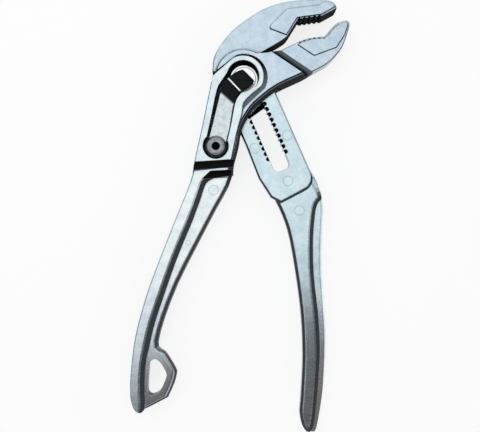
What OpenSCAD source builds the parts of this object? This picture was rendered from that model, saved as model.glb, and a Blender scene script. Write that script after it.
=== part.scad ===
// Water pump pliers with a box joint, a double toothed slot and a thumb-released lock.
// Lies on its rear cheek, pivot axis along z, jaws towards +y, front face up.

/* [Overall] */
// Length from the jaw nose to the end of the longer handle, scales the plan outlines
tool_length = 250; // [200:1:300]
// Thickness over the two cheeks of the box joint
box_thick = 16.4; // [13:0.1:22]

/* [Forgings] */
// Thickness of the slotted arm
arm_thick = 8; // [6.4:0.1:9.6]
// Thickness of the upper jaw
upper_jaw_thick = 12.8; // [10:0.1:16]
// Thickness of the lower jaw
lower_jaw_thick = 10.8; // [8:0.1:14]
// Thickness of the rib along the left handle
rib_thick = 11.2; // [8:0.1:14]
// Thickness of the web beside the rib and of the tether loop
web_thick = 5.6; // [4:0.1:7]
// Thickness of the inner part of the right handle
grip_thick = 6.2; // [5:0.1:7]
// Thickness of the outer strip of the right handle
strip_thick = 3.4; // [3:0.1:4.6]
// Size of the edges trimmed off the jaws and the arm
edge_r = 0.5; // [0.3:0.05:0.8]
// Draft of a forged wall from the parting line to its shoulder
draft = 0.2; // [0.1:0.05:0.4]
// Height of the raised panel on each face of a jaw
panel_h = 0.55; // [0.3:0.05:0.7]
// Run of the slope along the lower edge of each cheek
flare = 2.6; // [1.5:0.1:3]
// Side of the square cut between two teeth of the upper jaw
bite_cut = 1.6; // [1:0.1:2]
// Side of the square cut between two teeth of the lower jaw
fine_cut = 0.9; // [0.6:0.1:1.2]

/* [Slot and lock] */
// Distance between neighbouring notches
notch_pitch = 3.33; // [2.8:0.01:4]
// Number of notches on each side of the slot
notch_count = 16; // [14:1:17]
// Radius of one notch
notch_r = 1.2; // [0.8:0.05:1.3]
// Half width of the slot between its notches
slot_half = 4.85; // [4:0.05:6]
// Radius of the corners at the far end of the slot
slot_corner = 3.4; // [2:0.1:4]
// Height of the teeth on the lock key
tooth_h = 1.6; // [1.2:0.1:2]
// Way that the button is pressed
press = 2; // [1.6:0.1:2.4]
// Radius of the stem between button and lock key
stem_r = 2; // [1.5:0.1:2.4]

/* [Pivot] */
// Radius of the hub that turns in the front cheek
hub_r = 9.1; // [8:0.1:10]
// Radius of the bush that turns in the rear cheek
bush_r = 7.2; // [7:0.1:8]

/* [Spring and button] */
// Thickness of the spring leaf
leaf_t = 0.8; // [0.5:0.1:1.2]
// Thickness of the thumb button
button_t = 1.4; // [1:0.1:2]
// Radius of the screw head
screw_head_r = 5.2; // [4:0.1:6]
// Radius of the screw shank
screw_r = 3; // [2:0.1:3.5]

/* [Clearances] */
// Play between the arm and each cheek
side_gap = 0.3; // [0.2:0.05:0.5]
// Radial play of turning and sliding fits
fit = 0.06; // [0.02:0.01:0.1]
// Play between parts that pass each other
gap = 0.35; // [0.25:0.05:0.6]

/* [Hidden] */

k = tool_length / 250;
mid = box_thick / 2;
arm_lo = mid - arm_thick / 2;
arm_hi = mid + arm_thick / 2;
jaw_lo = mid - upper_jaw_thick / 2;
jaw_hi = mid + upper_jaw_thick / 2;
cheek_t = arm_lo - side_gap;
flare_z = cheek_t - 0.6;
tongue_z = box_thick + 1;
slot_turn = -66.2;
shut_turn = -6;
open_turn = 15;

// Arm edges, measured across from the slot centre line
arm_right = 14.1 * k;
arm_left = 14.8 * k;
cheek_r = 15.2 * k;

// Heights of the lock train, counted from the rear face
hub_top = arm_hi + side_gap + 1;
tip_lo = hub_top + press + 0.1;
tip_hi = tip_lo + leaf_t;
key_lo = arm_lo + 0.1;
key_half = notch_pitch / 2 + notch_r;
bush_top = key_lo - press - 0.15;
tooth_r = notch_r - 0.1;
tooth_v = slot_half + notch_r / 2;
neck = notch_r * cos(30) - 0.1;
button_lo = tip_hi;
head_h = 0.6;
pin_r = slot_half - 0.1;
pin_u = 3;
slot_start = -pin_u - 0.2;
slot_end = (notch_count - 0.5) * notch_pitch + 5.8;

// Leaf seat in the handle
screw_at = k * [-15.4, -39.3];
seat_z = tip_lo - 1.6;
well_z = seat_z - 0.8;
screw_pocket_r = 7.35 * k;
socket_r = 2.3;

// Smooth curve through points, without its last point
function knot(p, i) = i < 0 ? 2 * p[0] - p[1] :
    i >= len(p) ? 2 * p[len(p) - 1] - p[len(p) - 2] : p[i];
function bend(a, b, c, d, t) = 0.5 * (2 * b + (c - a) * t
    + (2 * a - 5 * b + 4 * c - d) * t * t + (3 * b - a - 3 * c + d) * t * t * t);
function curve(p, n = 3) = [for (i = [0:len(p) - 2]) for (j = [0:n - 1])
    bend(knot(p, i - 1), p[i], p[i + 1], knot(p, i + 2), j / n)];
function arc(r, a, b, n) = [for (i = [0:n]) r * [cos(a + (b - a) * i / n), sin(a + (b - a) * i / n)]];

// Outline moved inwards by d, for outlines that run anticlockwise; each side moves by its own share,
// which is base and as much more as the side faces away from lean
function side(a, b) = [a[1] - b[1], b[0] - a[0]] / norm(b - a);
function share(a, base, lean) = max(0, base + lean * a);
function corner(a, b, wa, wb) = a * b > 0.5 ? (wa + wb) / 2 * (a + b) / (1 + a * b)
    : ((wa - a * b * wb) * a + (wb - a * b * wa) * b) / (1 - (a * b) * (a * b));
function inset(p, d, base = 1, lean = [0, 0]) = [for (i = [0:len(p) - 1])
    let (a = side(p[(i + len(p) - 1) % len(p)], p[i]), b = side(p[i], p[(i + 1) % len(p)]))
    p[i] + d * corner(a, b, share(a, base, lean), share(b, base, lean))];

// Solid through rings of one outline, each ring a height and an inset
module loft(outline, rings, base = 1, lean = [0, 0]) {
    n = len(outline);
    m = len(rings);
    points = [for (s = rings) each [for (q = inset(outline, s[1], base, lean)) [q[0], q[1], s[0]]]];
    walls = [for (j = [0:m - 2]) for (i = [0:n - 1])
        [j * n + i, (j + 1) * n + i, (j + 1) * n + (i + 1) % n, j * n + (i + 1) % n]];
    polyhedron(points, concat([[for (i = [0:n - 1]) i]], walls,
        [[for (i = [n - 1:-1:0]) (m - 1) * n + i]]), convexity = 8);
}

// Forged plate about the parting plane, with draft and a soft slope along the edge of both faces
module forged(outline, thick, run = edge_r, rise = edge_r, d = draft, lean = [0, 0]) {
    h = thick / 2;
    step = [[h, d + run], [h - 0.1 * rise, d + 0.72 * run], [h - 0.6 * rise, d + 0.2 * run], [h - rise, d]];
    loft(outline, concat([for (s = step) [mid - s[0], s[1]]], [[mid, 0]],
        [for (i = [3:-1:0]) [mid + step[i][0], step[i][1]]]), 1, lean);
}

// Forgings are drawn at the 250 mm size and resized in plan
function span(p) = max([for (q = p) q[1]]) - min([for (q = p) q[1]]);
module plan_sized(outline) {
    resize([0, k * span(outline), 0], auto = [true, true, false])
        children();
}

module plate(outline, lo, hi) {
    translate([0, 0, lo])
        linear_extrude(hi - lo)
            polygon(outline);
}

// Cheeks of the box joint, with the block of the left handle, at the level of the arm
head_outline = concat(
    [[41, 4.6], [22.6, 16], [15.2, 13.9], [11.4, 13.4]],
    arc(cheek_r / k, 62, 186, 16),
    curve([[-17.9, -2.6], [-19.4, -10], [-22.9, -27.1], [-26.1, -41.3], [-28.8, -54.5]], 4),
    [[-28.8, -54.5]],
    curve([[-6.4, -54.5], [-5.6, -50.6], [-2.4, -38.2], [-1.3, -30.7], [0.4, -26.4], [2.8, -22.2],
        [5.4, -18.4], [9.4, -14.4], [19.9, -6.4], [34.3, 0.4], [41, 4.6]]));

lower_jaw_outline = concat(
    [[24, 2]],
    curve([[35, 1.6], [40.7, 3.9], [45.5, 6.4], [48.5, 8.3], [52.8, 12.3], [57.1, 18], [59.4, 24],
        [60.6, 28]]),
    curve([[60.6, 28], [61.1, 30.2], [60.8, 32], [59.6, 33], [57.9, 33], [53.9, 31.6], [50.4, 28.4],
        [47.7, 25.1], [46.3, 23.9]]),
    curve([[46.3, 23.9], [39.3, 23.3], [33.4, 21.6], [29.7, 19.9]]),
    [[29.7, 19.9], [22.6, 16.5], [17, 10]]);

// Raised bite panel of the lower jaw
lower_panel = concat(
    [[30.6, 18.9], [40.65, 12.3], [53.6, 17.1], [58.3, 24.2]],
    curve([[60.1, 29.6], [59.9, 31.4], [58.4, 32.1], [54.3, 30.7], [50.9, 27.7], [48, 24.1], [46, 22.9]]),
    [[46, 22.9], [39.4, 22.4], [33.7, 20.7]]);

upper_jaw_outline = concat(
    curve([[53.6, 39.5], [53, 41.7], [51.2, 43.5], [47.9, 44.5], [39.3, 44.8], [30.6, 44.4],
        [24.9, 43.6], [19.9, 42.5], [13.4, 40.2], [8.6, 37.8], [1.6, 33.2], [-4.7, 28.5],
        [-9.2, 23.9], [-12.9, 19.1], [-15.6, 14.5], [-17.1, 9.7], [-17.6, 3.4]], 2),
    [[-17.6, 3.4], [-13, 2.5], [8, 8]],
    curve([[10.4, 13.9], [14.8, 16.6], [20.5, 19.9], [24, 22.2], [25.4, 23.5]], 2),
    [[25.4, 23.5], [31.5, 33.1], [45.2, 34.9]]);

// Raised bite panel of the upper jaw
upper_panel = concat(
    [[24.8, 23.8], [31.1, 33.7], [44.9, 35.5]],
    curve([[52.6, 39.9], [52.2, 41.3], [50.6, 42.7], [46.5, 43.6], [43, 41.5]]),
    [[43, 41.5], [24.9, 39.3], [15.4, 29.9], [15, 28.6], [15.4, 27.3]]);

// Left handle: rib on its outside, web with the tether loop on its inside
rib_outline = concat(
    curve([[-27, -45], [-30.3, -58.8], [-38.6, -79.5], [-49.4, -106.9], [-56.3, -126.3],
        [-62, -147.9], [-64.4, -166.2], [-65, -178], [-64.5, -185], [-62.4, -190.6], [-59, -192.6],
        [-56.2, -190], [-55.6, -185]]),
    curve([[-55.6, -185], [-56, -178], [-55.4, -164], [-51.4, -144], [-46, -127], [-39, -107],
        [-33.8, -93.8], [-28.8, -81.8], [-24.2, -69.5], [-22.3, -63.5], [-20.4, -59.6],
        [-16.8, -57.3]]),
    [[-16.8, -57.3], [-5.6, -55.6], [-5.4, -48], [-14, -44]]);

web_outline = concat(
    [[-7, -47]],
    curve([[-25, -47], [-28, -60], [-37, -84], [-47, -108], [-56, -137], [-61, -168],
        [-61, -186]]),
    [[-61, -186]],
    curve([[-56.2, -190.6], [-44.4, -184.5], [-42.9, -182.8], [-39.7, -175.7], [-38.2, -170],
        [-38.6, -167.1], [-42.3, -160.7], [-44.9, -157], [-47.6, -155.3], [-48.8, -151.5],
        [-45.1, -137.7], [-37.3, -117.7], [-25.8, -94.9], [-15.4, -75], [-8.3, -62.1],
        [-5.5, -52.2], [-5, -47]], 2));

loop_hole = curve(k * [[-53.7, -162.8], [-50.6, -161.1], [-47.5, -163.3], [-45, -167.3],
    [-43.9, -170], [-44.4, -172.5], [-47, -178.7], [-49.1, -181.1], [-52.2, -182.4],
    [-54.4, -181.3], [-55, -177.7], [-54.3, -165.5], [-53.7, -162.8]], 2);

// Right handle: raised inner part, and the lower strip along its outside
strip_outline = concat(
    [[34, -50], [18, -58]],
    curve([[21, -70], [26, -82], [29.8, -98], [33.6, -122], [35.6, -140], [36, -164], [35, -184],
        [35, -193], [38.2, -204]]),
    curve([[38.2, -204], [40.8, -204.6], [43.2, -202.4], [45.3, -192.4], [47, -180.5],
        [47.8, -169], [48.2, -155], [48.1, -145], [46.8, -125.7], [45.6, -110], [45.5, -97.8],
        [46, -84], [46.4, -74], [44.6, -64], [39.5, -52.7], [34, -50]]));

inner_outline = concat(
    [[32, -52], [13.4, -50]],
    curve([[11.8, -56], [16.8, -66.6], [22.6, -78.6], [26.9, -92.6], [31.2, -118.3],
        [33.5, -138.2], [34.2, -155], [34.1, -166], [33.1, -184], [32.5, -192], [34, -199.6],
        [36.4, -203.4]]),
    curve([[36.4, -203.4], [39, -203.8], [41.4, -199], [43, -185], [44.3, -168], [44.8, -156.3],
        [44.4, -144.7], [43.6, -133.2], [42.2, -121.6], [41.2, -110], [40.9, -98.5], [41.2, -87],
        [42.4, -75.6], [43.9, -71.4], [45.8, -68.6], [43.8, -62], [38, -53]]));

// Arm plate in slot coordinates: along the slot towards the handle, then across
arm_outline = concat(
    [[-20, -5]],
    curve([[-11.4, -12.2], [-7, -13.4], [0, -13.9]]),
    [[0, -13.9], [36, -13.9], [56, -arm_left / k], [69, -12.8], [74.4, -8.8]],
    [for (a = [0:10:90]) [65.6 + 7.8 * cos(a), arm_right / k - 7.8 + 7.8 * sin(a)]],
    [[0, arm_right / k], [-16, arm_right / k], [-20, 9]]);

// Space that the arm sweeps between the cheeks from shut to open
module arm_sweep() {
    for (turn = [shut_turn - 0.5, (shut_turn + open_turn) / 2, open_turn + 0.5])
        rotate(slot_turn + turn)
            translate([-90 * k, -arm_left - gap, cheek_t])
                cube([180 * k, arm_left + arm_right + 2 * gap, box_thick - 2 * cheek_t]);
}

// Room under the lip of each cheek, for the root of the upper jaw as it shuts
module jaw_pass() {
    plate(concat(arc(cheek_r, 41, 64, 6), arc(24 * k, 64, 41, 4)), jaw_lo - gap, jaw_hi + gap);
}

// Sloped shoulder from the cheek down to the lower jaw, on one face
module jaw_shoulder() {
    translate([24.3, 8.7, box_thick])
        rotate([0, 0, 56.2])
            rotate([0, 33, 0])
                translate([0, -30, 0])
                    cube([40, 60, 20]);
}

// Step from the handle block down to the rib, on one face
module block_step() {
    translate([-17, -48.1, tongue_z])
        rotate([0, 0, -83.5])
            rotate([0, 43, 0])
                translate([0, -25, 0])
                    cube([30, 50, 20]);
}

module both_faces() {
    children();
    translate([0, 0, mid])
        mirror([0, 0, 1])
            translate([0, 0, -mid])
                children();
}

// Raised tongue of the handle that carries the lock button
tongue_outline = concat(
    [[-28.4, -54], [-9, -54], [-7.6, -50.7], [-5.2, -38.8], [-3.6, -31], [-2.1, -25.7]],
    [[-0.9, -21.9], [-0.2, -16.2], [0.3, -14.7], [2.1, -12.4], [5.5, -9.3], [8.6, -6.9]],
    arc(11.7, -27, 119, 16),
    [[-15.6, 1.6], [-17.2, 0]],
    curve([[-17.7, -3.4], [-19, -10], [-22.5, -27.1], [-25.7, -41.3], [-28.4, -54]], 4));

groove_outline = concat(
    [[-1.8, -24], [0.2, -18.3], [1.6, -16.7], [4.7, -13.7], [8.5, -10.1]],
    [for (q = arc(13.3, -28, 110, 16)) q + [0.6, -0.4]],
    [[-16, 2.9], [-20, 0], [-17, -3], [-6, -8]]);

// Channel for the spring leaf, from the screw to the pivot
channel_outline = concat(
    curve(k * [[-7.6, 4], [-12.1, -2.5], [-14.8, -7.8], [-18.9, -27.1], [-21.4, -38]]),
    k * [[-21.4, -38]],
    curve(k * [[-9.2, -38], [-6.7, -27.1], [-4.7, -16.4], [-2.8, -11.7], [2.2, -6.4]]),
    k * [[2.2, -6.4]]);

well_outline = concat(
    curve(k * [[-7.6, 4], [-12.1, -2.5], [-14.8, -7.8], [-17.6, -21]]),
    k * [[-17.6, -21]],
    curve(k * [[-5.6, -21], [-4.7, -16.4], [-2.8, -11.7], [2.2, -6.4]]),
    k * [[2.2, -6.4]]);

// Cheeks and block with their slopes, and the tongue between its grooves
module head() {
    difference() {
        union() {
            difference() {
                loft(head_outline, [[0, flare], [flare_z, 0], [box_thick - flare_z, 0],
                    [box_thick, flare]], 0, [-0.6, 0.8]);
                plate(groove_outline, box_thick - 1.2, box_thick + 1);
            }
            plate(tongue_outline, jaw_hi + gap, tongue_z);
        }
        both_faces() {
            jaw_shoulder();
            block_step();
        }
    }
}

module lower_jaw_handle() {
    color("silver")
        difference() {
            union() {
                difference() {
                    plan_sized(head_outline)
                        head();
                    jaw_pass();
                }
                plan_sized(lower_jaw_outline) {
                    forged(lower_jaw_outline, lower_jaw_thick);
                    forged(lower_panel, lower_jaw_thick + 2 * panel_h);
                }
                plan_sized(concat(rib_outline, web_outline)) {
                    forged(rib_outline, rib_thick, 2.2, 2.6, 0.25, [-0.64, 0]);
                    forged(web_outline, web_thick, 1.3, 1.2, 0.4, [-0.64, 0]);
                }
            }
            arm_sweep();
            plate(loop_hole, 0, box_thick);
            // Bores for the hub in front and the bush behind
            translate([0, 0, mid])
                cylinder(r = hub_r + fit, h = box_thick, $fn = 96);
            translate([0, 0, -1])
                cylinder(r = bush_r + fit, h = mid, $fn = 96);
            // Seat of the spring leaf and its screw
            plate(channel_outline, seat_z, tongue_z + 1);
            plate(well_outline, well_z, tongue_z + 1);
            plate(inset(button_outline, -gap), hub_top, tongue_z + 1);
            translate([screw_at[0], screw_at[1], seat_z])
                cylinder(r = screw_pocket_r, h = 20, $fn = 96);
            translate([screw_at[0], screw_at[1], mid - 2])
                cylinder(r = screw_r + fit, h = 20, $fn = 64);
            // Teeth across the lower jaw
            for (q = curve(k * [[31.6, 20.9], [35, 22.3], [39.8, 23.3], [45.2, 23.9]]))
                translate([q[0], q[1], -1])
                    rotate(13 + 45)
                        translate([-fine_cut / 2, -fine_cut / 2, 0])
                            cube([fine_cut, fine_cut, box_thick + 2]);
        }
}

module upper_jaw_arm() {
    color("gainsboro")
        difference() {
            union() {
                difference() {
                    plan_sized(upper_jaw_outline) {
                        forged(upper_jaw_outline, upper_jaw_thick, lean = [0, -0.6]);
                        forged(upper_panel, upper_jaw_thick + 2 * panel_h);
                    }
                    both_faces()
                        translate([0, 0, arm_hi - gap])
                            cylinder(r = cheek_r + gap, h = box_thick, $fn = 128);
                }
                rotate(slot_turn)
                    plan_sized(arm_outline)
                        forged(arm_outline, arm_thick, 1, 1, 0, [-0.8, 0]);
                plan_sized(concat(strip_outline, inner_outline)) {
                    forged(strip_outline, strip_thick, 1, 1, 0.4);
                    forged(inner_outline, grip_thick, 2.6, 1.5, 0.3, [-0.24, 0]);
                }
            }
            // Slot with notches on both sides
            rotate(slot_turn) {
                translate([slot_start, -slot_half, 0])
                    cube([slot_end - slot_corner - slot_start, 2 * slot_half, box_thick]);
                translate([slot_start, 0, 0])
                    cylinder(r = slot_half, h = box_thick, $fn = 96);
                translate([0, slot_corner - slot_half, 0])
                    cube([slot_end, 2 * (slot_half - slot_corner), box_thick]);
                for (v = [-1, 1])
                    translate([slot_end - slot_corner, v * (slot_half - slot_corner), 0])
                        cylinder(r = slot_corner, h = box_thick, $fn = 64);
                for (i = [0:notch_count - 1], v = [-tooth_v, tooth_v])
                    translate([(i - 0.5) * notch_pitch, v, 0])
                        cylinder(r = notch_r, h = box_thick, $fn = 32);
            }
            // Teeth across the upper jaw
            for (i = [0:4])
                translate([(32.2 + 2.85 * i) * k, (33.1 + 0.4 * i) * k, -1])
                    rotate(8 + 45)
                        translate([-bite_cut / 2, -bite_cut / 2, 0])
                            cube([bite_cut, bite_cut, box_thick + 2]);
        }
}

// Pin with a round hub in front and a flat middle that fills the slot
module pivot_pin() {
    color("lightsteelblue")
        difference() {
            union() {
                translate([0, 0, arm_hi + side_gap / 2])
                    cylinder(r = hub_r, h = hub_top - arm_hi - side_gap / 2, $fn = 96);
                cylinder(r = pin_r, h = hub_top - 0.2, $fn = 96);
                rotate(slot_turn) {
                    translate([-pin_u, -pin_r, arm_lo])
                        cube([2 * pin_u, 2 * pin_r, arm_thick + side_gap]);
                    for (u = [-pin_u, pin_u])
                        translate([u, 0, arm_lo])
                            cylinder(r = pin_r, h = arm_thick + side_gap, $fn = 64);
                }
            }
            rotate(slot_turn)
                translate([-key_half - fit, -20, bush_top])
                    cube([2 * key_half + 2 * fit, 40, key_lo + tooth_h + 0.1 - bush_top]);
            translate([0, 0, key_lo])
                cylinder(r = stem_r + fit, h = box_thick, $fn = 48);
            // Turned groove in the hub face
            translate([0, 0, hub_top - 0.25])
                difference() {
                    cylinder(r = hub_r - 1.2, h = 1, $fn = 96);
                    cylinder(r = hub_r - 1.9, h = 1, $fn = 96);
                }
        }
}

module rear_bush() {
    color("slategray")
        difference() {
            cylinder(r = bush_r, h = bush_top, $fn = 96);
            translate([0, 0, -1])
                cylinder(r = pin_r, h = box_thick, $fn = 96);
        }
}

// Key with round teeth, on a stem that ends in a head inside the button
module lock_key() {
    color("dimgray")
        union() {
            rotate(slot_turn) {
                translate([-key_half, -pin_r + 0.2, key_lo])
                    cube([2 * key_half, 2 * pin_r - 0.4, tooth_h]);
                for (u = [-0.5, 0.5], v = [-1, 1]) {
                    translate([u * notch_pitch, v * tooth_v, key_lo])
                        cylinder(r = tooth_r, h = tooth_h, $fn = 32);
                    translate([u * notch_pitch - neck, v > 0 ? pin_r - 1 : -tooth_v, key_lo])
                        cube([2 * neck, tooth_v - pin_r + 1, tooth_h]);
                }
            }
            translate([0, 0, key_lo])
                cylinder(r = stem_r, h = button_lo + head_h - key_lo, $fn = 48);
            translate([0, 0, button_lo])
                cylinder(r = stem_r + 0.9, h = head_h, $fn = 48);
        }
}

button_outline = concat(k * [[-2, -8.7], [1.4, -7.6], [3.9, -6.8], [6.1, -4], [6.2, -2.2]],
    k * [[0.3, 3.6], [-0.7, 3.9], [-4.9, 2], [-9, -1.4]]);

module thumb_button() {
    color("black")
        difference() {
            plate(button_outline, button_lo, button_lo + button_t);
            translate([0, 0, button_lo - 1])
                cylinder(r = stem_r + 1, h = 1 + head_h + 0.1, $fn = 48);
        }
}

// Leaf from the screw, up a ramp and under the button
module spring_leaf() {
    foot = concat(k * [[-13.1, -9.3], [-15.2, -18]],
        [for (a = [190:20:350]) screw_at + 5 * k * [cos(a), sin(a)]],
        k * [[-7.2, -27.1], [-5.6, -16.4]]);
    color("whitesmoke")
        difference() {
            union() {
                plate(foot, seat_z, seat_z + leaf_t);
                hull() {
                    plate(k * [[-13.1, -9.3], [-5.6, -16.4], [-5.4, -16.2], [-12.9, -9.1]],
                        seat_z, seat_z + leaf_t);
                    plate(k * [[-9, -1.4], [-2, -8.7], [-1.3, -8], [-8.3, -0.7]],
                        tip_lo, tip_hi);
                }
                plate(inset(button_outline, 0.2), tip_lo, tip_hi);
            }
            translate([0, 0, tip_lo - 1])
                cylinder(r = stem_r + 0.1, h = leaf_t + 2, $fn = 48);
            translate([screw_at[0], screw_at[1], seat_z - 1])
                cylinder(r = screw_r + fit, h = leaf_t + 2, $fn = 48);
        }
}

module leaf_screw() {
    color("silver")
        translate([screw_at[0], screw_at[1], 0])
            difference() {
                union() {
                    translate([0, 0, mid - 1.8])
                        cylinder(r = screw_r, h = seat_z + leaf_t - mid + 2, $fn = 64);
                    translate([0, 0, seat_z + leaf_t])
                        rotate_extrude($fn = 96)
                            polygon(concat([[0, 0], [screw_head_r, 0]],
                                [for (a = [15:15:75]) [2.4 + (screw_head_r - 2.4) * cos(a), 2.6 * sin(a)]],
                                [[0, 2.6]]));
                }
                translate([0, 0, seat_z + leaf_t + 0.8])
                    cylinder(r = socket_r, h = 5, $fn = 6);
            }
}

lower_jaw_handle();
upper_jaw_arm();
pivot_pin();
rear_bush();
lock_key();
thumb_button();
spring_leaf();
leaf_screw();
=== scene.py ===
import bpy
import math
import numpy as np
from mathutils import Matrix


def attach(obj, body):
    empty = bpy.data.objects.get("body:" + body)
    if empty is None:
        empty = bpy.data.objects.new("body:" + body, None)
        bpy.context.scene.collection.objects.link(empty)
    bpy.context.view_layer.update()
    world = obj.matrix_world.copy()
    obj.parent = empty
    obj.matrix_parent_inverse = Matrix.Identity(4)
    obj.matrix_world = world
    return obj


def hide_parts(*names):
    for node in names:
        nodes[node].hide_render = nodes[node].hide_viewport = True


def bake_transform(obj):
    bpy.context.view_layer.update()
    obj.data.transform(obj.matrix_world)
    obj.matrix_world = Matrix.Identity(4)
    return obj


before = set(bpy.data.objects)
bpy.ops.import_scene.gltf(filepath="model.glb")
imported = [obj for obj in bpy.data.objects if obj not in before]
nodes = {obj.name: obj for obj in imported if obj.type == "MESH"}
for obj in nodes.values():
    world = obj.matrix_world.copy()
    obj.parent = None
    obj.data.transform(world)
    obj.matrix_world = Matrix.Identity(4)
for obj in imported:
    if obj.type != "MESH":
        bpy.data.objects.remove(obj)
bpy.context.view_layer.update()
mm = 0.001  # the looks below are in mm, Blender is in metres
print("frame loaded:", ", ".join(sorted(nodes)))


# one shader socket: sums and products on values add their Math nodes, node() adds any other node
class Wire:
    def __init__(self, tree, socket=None):
        self.tree = tree
        self.socket = socket

    # a wire is linked, anything else is set; a colour gets its alpha
    def feed(self, target, value):
        if isinstance(value, Wire):
            self.tree.links.new(value.socket, target)
        elif target.type == "RGBA":
            target.default_value = (*value, 1)
        else:
            target.default_value = value

    def node(self, kind, settings=None, sockets=None, out=0):
        made = self.tree.nodes.new(kind)
        for name, value in (settings or {}).items():
            setattr(made, name, value)
        for name, value in (sockets or {}).items():
            self.feed(made.inputs[name], value)
        return Wire(self.tree, made.outputs[out] if made.outputs else None)

    def math(self, operation, first, second=0.0):
        return self.node("ShaderNodeMath", {"operation": operation}, {0: first, 1: second})

    def __add__(self, other):
        return self.math("ADD", self, other)

    def __radd__(self, other):
        return self.math("ADD", other, self)

    def __sub__(self, other):
        return self.math("SUBTRACT", self, other)

    def __rsub__(self, other):
        return self.math("SUBTRACT", other, self)

    def __mul__(self, other):
        return self.math("MULTIPLY", self, other)

    def __rmul__(self, other):
        return self.math("MULTIPLY", other, self)

    def __truediv__(self, other):
        return self.math("DIVIDE", self, other)

    def __rtruediv__(self, other):
        return self.math("DIVIDE", other, self)

    def __abs__(self):
        return self.math("ABSOLUTE", self)

    def most(self, other):
        return self.math("MAXIMUM", self, other)

    def least(self, other):
        return self.math("MINIMUM", self, other)

    # 0 below low, 1 above high, smooth between
    def rise(self, low, high):
        return self.node("ShaderNodeMapRange", {"interpolation_type": "SMOOTHSTEP"},
                         {"Value": self, "From Min": low, "From Max": high})

    # a colour between first and second, by this value
    def tint(self, first, second):
        return self.node("ShaderNodeMix", {"data_type": "RGBA"}, {0: self, 6: first, 7: second}, out=2)

    def vector(self, operation, other=(0, 0, 0), out=0):
        return self.node("ShaderNodeVectorMath", {"operation": operation}, {0: self, 1: other}, out)

    # a colour or a point times a triple, part by part
    def times(self, triple):
        return self.vector("MULTIPLY", triple)

    def length(self):
        return self.vector("LENGTH", out="Value")

    # how far a point or a normal goes along a direction, from the origin or from a start
    def dot(self, way):
        return self.vector("DOT_PRODUCT", way, out="Value")

    def along(self, start, way):
        return self.vector("SUBTRACT", start).dot(way)

    # distance of a point from the upright axis through x, y
    def around(self, x, y):
        return self.vector("SUBTRACT", (x, y, 0)).times((1, 1, 0)).length()

    def noise(self, scale, detail, rough):
        return self.node("ShaderNodeTexNoise", {},
                         {"Vector": self, "Scale": scale, "Detail": detail, "Roughness": rough})


# a material with its tree emptied, and its first wire
def newFinish(name):
    finish = bpy.data.materials.new(name)
    finish.use_nodes = True
    finish.node_tree.nodes.clear()
    return finish, Wire(finish.node_tree)


# steel with a mottled grain. A level face is pale; an upright wall is painted mid grey, a darker finish of the
# trimmed sides that also stands in for their shade; a slope is painted dark and dull and a corner black, as painted
# shade. Slopes that face north are left pale, and walls that face the shade side of the head get the painted slope
# shade too.
# paint may change the pale tone; its coat says where the steel is dull, its keep where the painted slope and corner
# shade are left off
def steelFinish(name, look, paint=None):
    finish, wire = newFinish(name)
    place = wire.node("ShaderNodeTexCoord", out="Object")
    spot = place.times((1 / mm, 1 / mm, 1 / mm))
    grain = place.noise(*look["grain"])
    cloud = place.noise(*look["cloud"])
    soft = wire.node("ShaderNodeBevel", {"samples": look["edgeSamples"]}, {"Radius": look["edge"] * mm})
    facing = wire.node("ShaderNodeVectorTransform",
                       {"vector_type": "NORMAL", "convert_from": "WORLD", "convert_to": "OBJECT"}, {"Vector": soft})
    upwards = abs(facing.dot((0, 0, 1)))
    sideways = facing.times((1, 1, 0)).length().most(0.001)
    height = spot.dot((0, 1, 0))
    head = height.rise(*look["headFrom"])
    north = (facing.dot((0, 1, 0)) / sideways).rise(*look["northFrom"]) * height.rise(*look["northAbove"])
    # walls that face the shade side of the head are painted as shade; the jaw entry keeps the lower jaw's outer wall
    # out of it
    shaded = (facing.dot(look["shadeSide"]) / sideways).rise(*look["shadeFrom"]) * head
    if "jaw" in look:
        shaded = shaded * (1 - spot.along(look["jaw"]["at"], look["jaw"]["way"]).rise(*look["jaw"]["from"]))
    wall = (1 - upwards.rise(*look["wallFrom"])) * (1 - shaded)
    room = wire.node("ShaderNodeAmbientOcclusion", {"samples": look["cornerSamples"]},
                     {"Distance": look["cornerReach"] * mm}, out="AO")
    pale = cloud.rise(*look["cloudFrom"]).tint(look["paleLow"], look["paleHigh"])
    pale = (grain.rise(*look["speckFrom"]) * look["speck"]).tint(pale, look["speckTone"])
    pale, coat, keep = paint(spot, pale) if paint else (pale, 0.0, 0.0)
    # painted shade: slopes are painted dark and dull, except where they face north, and lighter down the handles than
    # in the head
    slopeShade = (1 - upwards.rise(*look["slopeFrom"])) * (1 - north * look["northKeep"]) * (1 - wall)
    slopeShade = slopeShade * (1 - keep) * look["slopeDepth"]
    # painted shade: corners found by ambient occlusion are painted black
    cornerShade = (1 - room.rise(*look["cornerFrom"])) * look["cornerDepth"] * (1 - keep)
    # upright walls painted mid grey: a darker finish of the trimmed sides that also stands in for their shade
    tone = (wall * look["wallDepth"]).tint(pale, look["wallTone"])
    # painted shade: the walls of the tether hole are painted near black
    if "eyeShade" in look:
        eyeShade = 1 - spot.around(*look["eyeShade"]["at"]).rise(*look["eyeShade"]["to"])
        tone = (wall * eyeShade * look["eyeShade"]["depth"]).tint(tone, look["eyeShade"]["tone"])
    tone = slopeShade.tint(tone, head.tint(look["slopeShadeFar"], look["slopeShadeTone"]))
    tone = cornerShade.tint(tone, look["cornerShadeTone"])
    bump = wire.node("ShaderNodeBump", {}, {"Strength": look["bump"], "Distance": look["bumpDeep"] * mm,
                                            "Height": grain, "Normal": soft})
    shader = wire.node("ShaderNodeBsdfPrincipled", {}, {
        "Base Color": tone, "Metallic": 1 - slopeShade.most(cornerShade).most(coat),
        "Roughness": look["rough"] + grain * look["roughSpread"],
        "Specular IOR Level": look["gloss"], "Normal": bump})
    wire.node("ShaderNodeOutputMaterial", {}, {"Surface": shader})
    return finish


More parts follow.
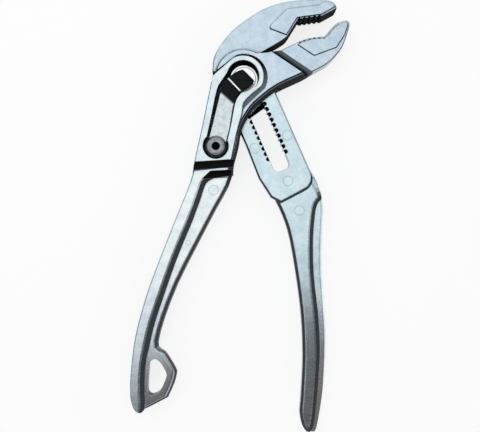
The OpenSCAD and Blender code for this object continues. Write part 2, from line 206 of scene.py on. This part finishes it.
# satin forgings; a pair of numbers is where a smooth step starts and ends, grain and cloud are a noise's scale to the
# metre, detail and roughness
forgingLook = {
    "grain": (1500.0, 3.0, 0.6), "cloud": (210.0, 4.0, 0.55), "cloudFrom": (0.3, 0.7),
    "paleLow": (0.5, 0.615, 0.715), "paleHigh": (0.61, 0.725, 0.82),
    "speck": 0.25, "speckFrom": (0.45, 0.75), "speckTone": (0.78, 0.87, 0.93),
    "edge": 0.55, "edgeSamples": 4,
    # the slope, north, shade, wall and corner entries set the painted shade on slopes, walls and corners
    "slopeFrom": (0.87, 0.975), "slopeDepth": 0.97,
    "slopeShadeTone": (0.013, 0.0135, 0.0145), "slopeShadeFar": (0.033, 0.036, 0.04),
    "northFrom": (0.2, 0.55), "northAbove": (-158, -150), "northKeep": 0.95,
    "shadeSide": (0.6, -0.8, 0), "shadeFrom": (-0.2, 0.2), "headFrom": (-66, -56),
    "wallFrom": (0.2, 0.45), "wallDepth": 0.85, "wallTone": (0.3, 0.32, 0.34),
    "cornerReach": 4, "cornerSamples": 8, "cornerFrom": (0.6, 0.86), "cornerDepth": 0.97,
    "cornerShadeTone": (0.0045, 0.005, 0.0055),
    "rough": 0.21, "roughSpread": 0.1, "gloss": 0.0, "bump": 0.1, "bumpDeep": 0.1,
    "middle": 8.2,  # height of the parting plane
    "ringFrom": (0.1, 0.45), "ringDepth": 0.5, "ringTone": (0.32, 0.37, 0.4), "notchShadeTone": (0.08, 0.085, 0.11),
    "crisp": 0.1, "blur": 0.3, "bandTurn": (0.15, 0.7),
}


# paint of a forging, each part only where its look has it: painted light and shade that set in down the tool, a
# tongue painted paler as painted light, a tether loop painted greyer as painted shade with its rim left clear of the
# painted slope shade, faint round marks, dark dots painted for the shade in the fine teeth, an outer strip painted
# brighter as a painted highlight, bands of painted shade between two distances along a way that go from dark to grey,
# and a groove whose floor is painted with shade the same way
def forgingPaint(look):
    crisp, blur = look["crisp"], look["blur"]

    def paint(spot, pale):
        height = spot.dot((0, 1, 0))
        level = abs(spot.along((0, 0, look["middle"]), (0, 0, 1)))
        coat = keep = 0.0
        # painted light and shade: tints that brighten or darken the pale tone down the tool
        for tint in look.get("lightShadeTints", ()):
            pale = height.rise(*tint["from"]).tint(pale.times(tint["tint"]), pale)
        # painted light: the raised tongue is painted paler
        if "tongue" in look:
            tongue = look["tongue"]
            pale = level.rise(*tongue["from"]).tint(pale, pale.times(tongue["tint"]))
        # painted shade: the tether loop is painted greyer; its rim is left clear of the painted slope and corner
        # shade
        if "loop" in look:
            loop = look["loop"]
            inLoop = (1 - level.rise(*loop["thin"])) * (1 - height.rise(*loop["from"]))
            pale = inLoop.tint(pale, loop["tone"])
            keep = inLoop.rise(*loop["rimWhere"]) * level.rise(*loop["rimFrom"])
            keep = keep * spot.along(loop["footAt"], loop["footWay"]).rise(*loop["footFrom"])
        for x, y, r in look["rings"]:
            line = 1 - abs(spot.around(x, y) - r).rise(*look["ringFrom"])
            pale = (line * look["ringDepth"]).tint(pale, look["ringTone"])
        # painted shade: dark dots for the shade in the fine tooth notches
        for x, y, r in look.get("notchShadeDots", ()):
            pale = (1 - spot.around(x, y).rise(r / 2, r)).tint(pale, look["notchShadeTone"])
        # painted highlight: the outer strip is painted brighter; its edge is left clear of the painted slope shade
        if "strip" in look:
            strip = look["strip"]
            keep = (1 - level.rise(*strip["edge"])) * (1 - height.rise(*strip["edgeBelow"]))
            onStrip = (1 - level.rise(*strip["top"])) * (1 - height.rise(*strip["topBelow"]))
            pale = onStrip.tint(pale, pale.times(strip["tint"]))
        # painted shade: dull bands, dark at one end and grey at the other
        for band in look.get("shadeBands", ()):
            x, y = band["way"]
            run, wide, above = band["run"], band["wide"], band["above"]
            on, side = spot.along(band["at"], (x, y, 0)), abs(spot.along(band["at"], (-y, x, 0)))
            lies = on.rise(-crisp, crisp) * (1 - on.rise(run - crisp, run + crisp))
            lies = lies * (1 - side.rise(wide - blur, wide)) * level.rise(above, above + blur)
            if "cutAt" in band:
                lies = lies * (1 - spot.along(band["cutAt"], band["cutWay"]).rise(0, blur))
            first, last = look["bandTurn"]
            pale = lies.tint(pale, on.rise(run * first, run * last).tint(band["dark"], band["grey"]))
            coat, keep = lies.most(coat), lies.most(keep)
        # painted shade: the groove's floor is dark at the top-left and grey towards the lower right
        if "groove" in look:
            groove = look["groove"]
            floor = (1 - abs(level - groove["level"]).rise(crisp, 1.5 * crisp)) * (1 - coat)
            shade = spot.dot(groove["way"]).rise(0, groove["run"]).tint(groove["dark"], groove["grey"])
            pale = floor.tint(pale, shade)
            coat, keep = floor.most(coat), floor.most(keep)
        return pale, coat, keep
    return paint


# lower jaw with the left handle; its bands of painted shade lie on the jaw's shoulder, the step of the block and the
# top of the recess
lowerLook = dict(
    forgingLook,
    jaw={"at": (24.3, 8.7, 0), "way": (0.556, 0.831, 0), "from": (4.5, 5.0)},
    eyeShade={"at": (-49.8, -171.5), "to": (12.5, 13.5), "depth": 0.95, "tone": (0.012, 0.0125, 0.0135)},
    lightShadeTints=[{"tint": (1.4, 1.28, 1.15), "from": (-58, -46)}, {"tint": (0.87, 0.9, 0.95), "from": (-140, -100)}],
    tongue={"from": (8.6, 8.9), "tint": (1.26, 1.22, 1.12)},
    loop={"thin": (3, 3.4), "from": (-172, -146), "tone": (0.4, 0.41, 0.44), "rimWhere": (0.3, 0.5),
          "rimFrom": (2.05, 2.25), "footAt": (-56.2, -190.6, 0), "footWay": (-0.459, 0.888, 0),
          "footFrom": (1.3, 1.6)},
    rings=[(-16.9, -64, 2.8), (-31.5, -94.3, 1.4)],
    notchShadeDots=[(32.5, 20.5, 0.9), (35.0, 21.45, 0.9), (38.0, 22.3, 0.9), (40.7, 22.75, 0.9), (43.6, 22.9, 0.9),
          (46.3, 22.5, 0.7)],
    shadeBands=[
        {"at": (24.3, 8.7, 0), "way": (0.556, 0.831), "run": 4.3, "wide": 30, "above": 0,
         "dark": (0.005, 0.0055, 0.007), "grey": (0.115, 0.13, 0.15)},
        {"at": (-17.1, -47.45, 0), "way": (0.066, -0.998), "run": 4.4, "wide": 14, "above": 5,
         "dark": (0.0075, 0.007, 0.007), "grey": (0.0105, 0.01, 0.01)},
        {"at": (-15.0, -52.8, 0), "way": (0.055, -0.998), "run": 4.4, "wide": 8.7, "above": 2.6,
         "cutAt": (-22.9, -57.1, 0), "cutWay": (-0.677, 0.735, 0),
         "dark": (0.004, 0.004, 0.0045), "grey": (0.008, 0.008, 0.0085)},
    ],
    groove={"way": (0.6, -0.8, 0), "run": 13, "level": 7.0,
            "dark": (0.005, 0.006, 0.008), "grey": (0.27, 0.3, 0.34)},
)
# upper jaw with the arm and the right handle; its tints paint light and shade down the tool, its strip a painted
# highlight
upperLook = dict(
    forgingLook, slopeFrom=(0.93, 0.988),
    lightShadeTints=[{"tint": (1.09, 1.12, 1.05), "from": (-12, 8)}, {"tint": (0.85, 0.8, 0.8), "from": (-140, -112)},
           {"tint": (1.45, 1.32, 1.33), "from": (-185, -150)}],
    rings=[(25.4, -32.6, 2.8), (6.6, -40.2, 2.8), (25.8, -58.8, 2.8), (32.5, -75.8, 2.8)],
    strip={"edge": (1.55, 1.7), "edgeBelow": (-66, -62), "top": (1.75, 1.9), "topBelow": (-128, -108),
           "tint": (1.5, 1.42, 1.42)},
)


# thin turned lines about an axis, each a radius and half its width
def turnedLines(far, pale, look):
    for r, half in look["lines"]:
        line = 1 - abs(far - r).rise(half, look["lineSoft"] * half)
        pale = (line * look["lineDepth"]).tint(pale, look["lineTone"])
    return pale


# turned hub: a bright disc with a turned line, and its rim down in the pocket painted dull black as painted shade
hubLook = dict(
    forgingLook, paleLow=(0.93, 0.95, 0.955), paleHigh=(0.98, 0.985, 0.985), speck=0.0, bump=0.02, edge=0.2,
    grain=(6000.0, 3.0, 0.6), cloud=(500.0, 4.0, 0.55), cornerDepth=0.35, cornerReach=2, cornerFrom=(0.2, 0.5),
    discAt=(0.56, -0.73), discFrom=(7.6, 7.9),
    lines=[(6.7, 0.16)], lineSoft=2.2, lineDepth=0.75, lineTone=(0.16, 0.17, 0.18),
)


def hubPaint(spot, pale):
    far = spot.around(*hubLook["discAt"])
    pocketShade = far.rise(*hubLook["discFrom"])
    return pocketShade.tint(turnedLines(far, pale, hubLook), hubLook["cornerShadeTone"]), pocketShade, 0.0


bushLook = dict(forgingLook, paleLow=(0.6, 0.64, 0.67), paleHigh=(0.74, 0.77, 0.79), cloud=(500.0, 4.0, 0.55))
keyLook = dict(forgingLook, paleLow=(0.1, 0.105, 0.11), paleHigh=(0.16, 0.17, 0.18), speckTone=(0.25, 0.26, 0.27))
for name, finish in {
    "lower_jaw_handle": steelFinish("satin_lower", lowerLook, forgingPaint(lowerLook)),
    "upper_jaw_arm": steelFinish("satin_upper", upperLook, forgingPaint(upperLook)),
    "pivot_pin": steelFinish("turned_hub", hubLook, hubPaint),
    "rear_bush": steelFinish("turned_bush", bushLook),
    "lock_key": steelFinish("dark_key", keyLook),
}.items():
    nodes[name].data.materials[0] = finish
print("forgings, hub, bush and key finished")


# skin over rows of points in mm: a row is a closed loop that runs anticlockwise, neighbouring rows are joined
# by quads, and a fan about its middle closes the first and the last row; edges past the sharp angle stay sharp
def skin(name, rows, finish, sharp):
    m, n, _ = rows.shape
    grid = np.arange(m * n).reshape(m, n)
    following = np.roll(grid, -1, axis=1)
    quads = np.stack([grid[:-1], following[:-1], following[1:], grid[1:]], axis=-1).reshape(-1, 4)
    first = np.stack([following[0], grid[0], np.full(n, m * n)], axis=-1)
    last = np.stack([grid[-1], following[-1], np.full(n, m * n + 1)], axis=-1)
    points = np.vstack([rows.reshape(-1, 3), rows[0].mean(axis=0), rows[-1].mean(axis=0)]) * mm
    mesh = bpy.data.meshes.new(name)
    mesh.from_pydata(points.tolist(), [], quads.tolist() + first.tolist() + last.tolist())
    mesh.polygons.foreach_set("use_smooth", np.ones(len(mesh.polygons), bool))
    mesh.set_sharp_from_angle(angle=math.radians(sharp))
    mesh.materials.append(finish)
    piece = bpy.data.objects.new(name, mesh)
    bpy.context.scene.collection.objects.link(piece)
    print("made", name, "with", len(mesh.polygons), "faces")
    return piece


# closed outline with rounded corners: each corner is a parabola between the points one radius before and after it
def roundedOutline(corners, radii, steps):
    p = np.array(corners, float)
    r = np.array(radii, float)[:, None]
    back = np.roll(p, 1, axis=0) - p
    on = np.roll(p, -1, axis=0) - p
    back /= np.linalg.norm(back, axis=1, keepdims=True)
    on /= np.linalg.norm(on, axis=1, keepdims=True)
    t = np.linspace(0, 1, steps)[None, :, None]
    start, end = (p + r * back)[:, None], (p + r * on)[:, None]
    bend = (1 - t) ** 2 * start + 2 * t * (1 - t) * p[:, None] + t ** 2 * end
    return bend.reshape(-1, 2)


# outline moved inwards: each point steps along the inward normal of the line through its neighbours
def insetOutline(outline, step):
    run = np.roll(outline, -1, axis=0) - np.roll(outline, 1, axis=0)
    run /= np.linalg.norm(run, axis=1, keepdims=True)
    return outline + step * np.stack([-run[:, 1], run[:, 0]], axis=-1)


# thumb button: a black pad with rounded edges over a pocket for the stem's head; its rounded edges are painted darker
# as painted shade, and its near edge is ground bright;
# a row of its profile is a height and an inset
buttonLook = dict(
    forgingLook, paleLow=(0.0055, 0.0075, 0.0085), paleHigh=(0.0095, 0.0125, 0.014), speck=0.2,
    speckTone=(0.02, 0.023, 0.025), slopeShadeTone=(0.0025, 0.0027, 0.003), slopeFrom=(0.5, 0.97), northKeep=0.0,
    cornerDepth=0.0, gloss=0.08, rough=0.42,
    corners=[(-2.1, -8.75), (1.2, -7.1), (3.4, -6.15), (6.0, -3.5), (6.2, -2.2), (0.3, 3.6), (-0.7, 3.9),
             (-4.9, 2), (-9, -1.4)],
    radii=[0.5, 1.2, 1.2, 0.9, 0.9, 0.5, 0.5, 1.5, 0.5], steps=8, sharp=40,
    profile=[(16.4, 0.1), (16.55, 0.0), (17.4, 0.02), (17.62, 0.08), (17.74, 0.18), (17.79, 0.3), (17.8, 0.45)],
    pocketR=3.0, pocketTop=17.1, pocketFoot=16.4,
    stripAt=(-9.03, -1.5, 0), stripWay=(0.722, 0.692, 0), stripFrom=(0.15, 0.25), stripTo=(1.0, 1.1),
    stripTone=(0.97, 0.98, 0.98),
)


def buttonPaint(spot, pale):
    inwards = spot.along(buttonLook["stripAt"], buttonLook["stripWay"])
    strip = inwards.rise(*buttonLook["stripFrom"]) * (1 - inwards.rise(*buttonLook["stripTo"]))
    return strip.tint(pale, buttonLook["stripTone"]), 1 - strip, 0.0


# rows from the pocket's ceiling down its round wall, and then up over the pad's inset outlines
def makeButton(look):
    outline = roundedOutline(look["corners"], look["radii"], look["steps"])
    angle = np.arctan2(outline[:, 1], outline[:, 0])
    ring = look["pocketR"] * np.stack([np.cos(angle), np.sin(angle)], axis=-1)
    loops = [(ring, look["pocketTop"]), (ring, look["pocketFoot"])]
    loops += [(insetOutline(outline, step), z) for z, step in look["profile"]]
    rows = np.stack([np.column_stack([loop, np.full(len(loop), z)]) for loop, z in loops])
    button = skin("thumb_button_pad", rows, steelFinish("black_button", look, buttonPaint), look["sharp"])
    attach(button, "button")
    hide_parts("thumb_button")


makeButton(buttonLook)


# bar between a left and a right edge line: its section is a rounded block, cos and sin raised to a low power, whose
# ends slide along the two lines while its middle follows a height
barLook = {"around": 40, "edgePower": 10, "sharp": 50}


def makeBar(name, left, right, height, thick, finish):
    turn = np.linspace(0, 2 * np.pi, barLook["around"], endpoint=False)
    wide, deep = (np.sign(wave) * np.abs(wave) ** (2 / barLook["edgePower"]) for wave in (np.cos(turn), np.sin(turn)))
    plan = ((left + right) / 2)[:, None] + wide[None, :, None] * ((left - right) / 2)[:, None]
    level = height[:, None] + thick / 2 * deep[None]
    return skin(name, np.concatenate([plan, level[..., None]], axis=-1), finish, barLook["sharp"])


# spring leaf: a rounded strip between a left and a right edge, flat on its seat, then up a ramp under the button;
# the ramp is painted near black like the button, as painted shade
leafLook = dict(
    forgingLook, paleLow=(0.53, 0.61, 0.63), paleHigh=(0.72, 0.79, 0.8), cloud=(420.0, 4.0, 0.55), speck=0.35,
    bump=0.3, cornerReach=1.6, cornerFrom=(0.3, 0.7), slopeFrom=(0.5, 0.9),
    screwAt=(-15.4, -39.3), footR=5.0, footWay=(0.224, 0.974), footSwing=(4, 84, 12), stations=81,
    thick=0.8, low=14.4, high=16.0,
    left=[(-20.27, -38.18), (-17.7, -28), (-15.2, -18), (-13.1, -9.3), (-9, -1.4), (-5.6, 0.9)],
    right=[(-10.53, -40.42), (-7.6, -29), (-6.4, -21.5), (-5.6, -16.4), (-2, -8.7), (0.9, -6.2)],
    rampFrom=3, rampTo=4, rampAt=(-12.7, -8.8, 0), rampWay=(0.666, 0.746, 0), rampSoft=(-0.7, 0.9),
    rampShadeTone=(0.017, 0.0177, 0.0195),
)


def leafPaint(spot, pale):
    rampShade = spot.along(leafLook["rampAt"], leafLook["rampWay"]).rise(*leafLook["rampSoft"])
    return rampShade.tint(pale, leafLook["rampShadeTone"]), rampShade, 0.0


# the foot of the leaf is a half circle about the screw; from there both edges run through their points, and the
# height climbs by a smooth step from the point rampFrom to the point rampTo
def makeLeaf(look):
    way = np.array(look["footWay"])
    across = np.array([-way[1], way[0]])
    swing = np.radians(np.linspace(*look["footSwing"]))[:, None]
    heel = np.array(look["screwAt"]) - look["footR"] * np.cos(swing) * way
    reach = look["footR"] * np.sin(swing) * across
    knots = np.arange(len(look["left"]))
    u = np.linspace(0, knots[-1], look["stations"])
    left, right = (np.column_stack([np.interp(u, knots, np.array(look[side])[:, i]) for i in (0, 1)])
                   for side in ("left", "right"))
    climb = np.clip((u - look["rampFrom"]) / (look["rampTo"] - look["rampFrom"]), 0, 1)
    rise = look["low"] + (look["high"] - look["low"]) * climb ** 2 * (3 - 2 * climb)
    height = np.concatenate([np.full(len(heel), look["low"]), rise])
    leaf = makeBar("spring_leaf_strip", np.vstack([heel + reach, left]), np.vstack([heel - reach, right]), height,
                   look["thick"], steelFinish("leaf_steel", look, leafPaint))
    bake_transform(leaf)
    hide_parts("spring_leaf")


makeLeaf(leafLook)

# screw: a domed head on a flange, with a hexagon socket; a row of dome and socket is a radius and a height
screwLook = dict(
    forgingLook, paleLow=(0.25, 0.275, 0.3), paleHigh=(0.37, 0.4, 0.43), cloud=(600.0, 4.0, 0.55),
    speckTone=(0.62, 0.66, 0.69), cornerReach=2.4, cornerFrom=(0.35, 0.75), slopeFrom=(0.35, 0.8),
    slopeShadeTone=(0.028, 0.03, 0.032), northKeep=0.0,
    at=(-15.4, -39.3), around=96, sharp=30,
    dome=[(3.0, 9.0), (3.0, 14.8), (5.95, 14.8), (6.05, 14.9), (6.05, 15.4), (5.95, 15.55), (5.4, 15.7), (5.3, 15.8),
          (5.25, 16.3), (5.1, 16.65), (4.8, 16.9), (4.3, 17.07), (3.6, 17.18), (2.9, 17.24), (2.62, 17.25),
          (2.45, 17.2)],
    socket=[(2.02, 17.0), (2.0, 16.9), (2.0, 15.4), (1.2, 15.2)], holeFrom=(2.25, 2.45),
    lines=[(5.4, 0.1), (3.9, 0.05)], lineSoft=2.5, lineDepth=0.7, lineTone=(0.08, 0.085, 0.09),
)


# painted shade: the hexagon socket is painted black
def screwPaint(spot, pale):
    far = spot.around(*screwLook["at"])
    socketShade = 1 - far.rise(*screwLook["holeFrom"])
    return socketShade.tint(turnedLines(far, pale, screwLook), screwLook["cornerShadeTone"]), socketShade, 0.0


# profile turned about the screw's axis; a socket row's radius is divided by the cosine of the angle from the middle
# of its side, which makes it a hexagon
def makeScrew(look):
    angle = np.linspace(0, 2 * np.pi, look["around"], endpoint=False)
    hexagon = 1 / np.cos((angle + np.pi / 6) % (np.pi / 3) - np.pi / 6)
    dome, socket = np.array(look["dome"]), np.array(look["socket"])
    radii = np.vstack([dome[:, :1] * np.ones_like(angle), socket[:, :1] * hexagon])
    height = np.vstack([dome, socket])[:, 1:] * np.ones_like(angle)
    rows = np.stack([look["at"][0] + radii * np.cos(angle), look["at"][1] + radii * np.sin(angle), height], axis=-1)
    screw = skin("leaf_screw_head", rows, steelFinish("screw_steel", look, screwPaint), look["sharp"])
    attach(screw, "lower")
    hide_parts("leaf_screw")


makeScrew(screwLook)

# ledges behind the notches: two bars in the arm, one along each side of the slot, seen through the notches, painted
# near black as painted shade
ledgeLook = dict(
    forgingLook, paleLow=(0.006, 0.006, 0.0066), paleHigh=(0.012, 0.012, 0.0132), speckTone=(0.024, 0.024, 0.025),
    slopeShadeTone=(0.006, 0.006, 0.0066), northKeep=0.0,
    slotTurn=-66.2, run=(-3.2, 50.6, 24), near=4.88, far=7.4, height=9.9, thick=1.4,
)


# dull paint for the bars painted near black as shade: the dark tone shows without metal
def dullShadePaint(spot, pale):
    return pale, 1.0, 0.0


# straight edge lines along the slot, turned by the slot's angle
def makeLedges(look):
    finish = steelFinish("shade_dark_ledge", look, dullShadePaint)
    turn = math.radians(look["slotTurn"])
    ways = np.array([[math.cos(turn), math.sin(turn)], [-math.sin(turn), math.cos(turn)]])
    u = np.linspace(*look["run"])
    for name, edges in (("slot_ledge_left", (-look["far"], -look["near"])),
                        ("slot_ledge_right", (look["near"], look["far"]))):
        right, left = (np.column_stack([u, np.full(len(u), v)]) @ ways for v in edges)
        ledge = makeBar(name, left, right, np.full(len(u), look["height"]), look["thick"], finish)
        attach(ledge, "arm")


makeLedges(ledgeLook)

# lip of the rear cheek, a bar seen through the top of the slot, painted near black for the shade under the front
# cheek
lipLook = dict(
    ledgeLook, left=[(-2.3, -20.5), (13.7, -9.1)], right=[(0.3, -24.2), (16.3, -12.8)], stations=16,
    height=3.0, thick=1.6,
)


# straight edge lines between the two ends of each side
def makeLip(look):
    left, right = (np.linspace(*np.array(look[side]), look["stations"]) for side in ("left", "right"))
    lip = makeBar("rear_cheek_lip", left, right, np.full(look["stations"], look["height"]), look["thick"],
                  steelFinish("shade_dark_lip", look, dullShadePaint))
    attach(lip, "lower")


makeLip(lipLook)
print("button, leaf, screw, slot ledges and lip made")

# pale floor that keeps the shadow; seen straight or in a reflection it is near white
floorLook = {"half": 3.0, "tone": (0.9, 0.9, 0.9), "white": 0.72, "glowTone": (1, 1, 1), "glow": 1.1}


def makeFloor(look):
    half = look["half"]
    mesh = bpy.data.meshes.new("floor")
    mesh.from_pydata([(-half, -half, 0), (half, -half, 0), (half, half, 0), (-half, half, 0)], [], [(0, 1, 2, 3)])
    floor = bpy.data.objects.new("floor", mesh)
    bpy.context.scene.collection.objects.link(floor)
    paper, wire = newFinish("pale_paper")
    straight, mirrored, through = (wire.node("ShaderNodeLightPath", out=ray)
                                   for ray in ("Is Camera Ray", "Is Glossy Ray", "Is Transmission Ray"))
    share = (straight + mirrored + through).least(1.0) * look["white"]
    matt = wire.node("ShaderNodeBsdfDiffuse", {}, {"Color": look["tone"]})
    glow = wire.node("ShaderNodeEmission", {}, {"Color": look["glowTone"], "Strength": look["glow"]})
    mixed = wire.node("ShaderNodeMixShader", {}, {0: share, 1: matt, 2: glow})
    wire.node("ShaderNodeOutputMaterial", {}, {"Surface": mixed})
    mesh.materials.append(paper)


makeFloor(floorLook)

# one soft panel above, in a room with pale walls and a dark ceiling, so that level faces mirror the panel; places and
# sizes in metres, wallTo is the height of a direction at which walls turn into ceiling
lightLook = {
    "panelAt": (-0.099, 0.083, 0.62), "panelSize": (0.8, 0.72), "panelTurn": 24, "panelPower": 1.75,
    "walls": (0.93, 0.94, 0.95), "ceiling": (0.065, 0.068, 0.07), "wallTo": (0.55, 0.8),
}


def makeLight(look):
    panel = bpy.data.lights.new("panel", "AREA")
    panel.shape = "RECTANGLE"
    panel.size, panel.size_y = look["panelSize"]
    panel.energy = look["panelPower"]
    lamp = bpy.data.objects.new("panel", panel)
    lamp.location = look["panelAt"]
    lamp.rotation_euler = (0, 0, math.radians(look["panelTurn"]))
    bpy.context.scene.collection.objects.link(lamp)
    world = bpy.data.worlds.new("room")
    world.use_nodes = True
    wire = Wire(world.node_tree)
    height = wire.node("ShaderNodeTexCoord", out="Generated").dot((0, 0, 1))
    room = height.rise(*look["wallTo"]).tint(look["walls"], look["ceiling"])
    wire.feed(world.node_tree.nodes["Background"].inputs["Color"], room)
    bpy.context.scene.world = world


makeLight(lightLook)

# straight down on the tool; 480 x 432 image, 0.57 mm to a pixel at the front faces
cameraLook = {"at": (-1.7 * mm, -78.9 * mm, 344 * mm), "lens": 43.4, "sensor": 36, "clip": 0.01}


def makeCamera(look):
    lens = bpy.data.cameras.new("camera")
    lens.lens = look["lens"]
    lens.sensor_width = look["sensor"]
    lens.clip_start = look["clip"]
    camera = bpy.data.objects.new("camera", lens)
    camera.location = look["at"]
    bpy.context.scene.collection.objects.link(camera)
    bpy.context.scene.camera = camera


makeCamera(cameraLook)
bpy.context.scene.view_settings.view_transform = "Standard"
print("light, floor and camera made")
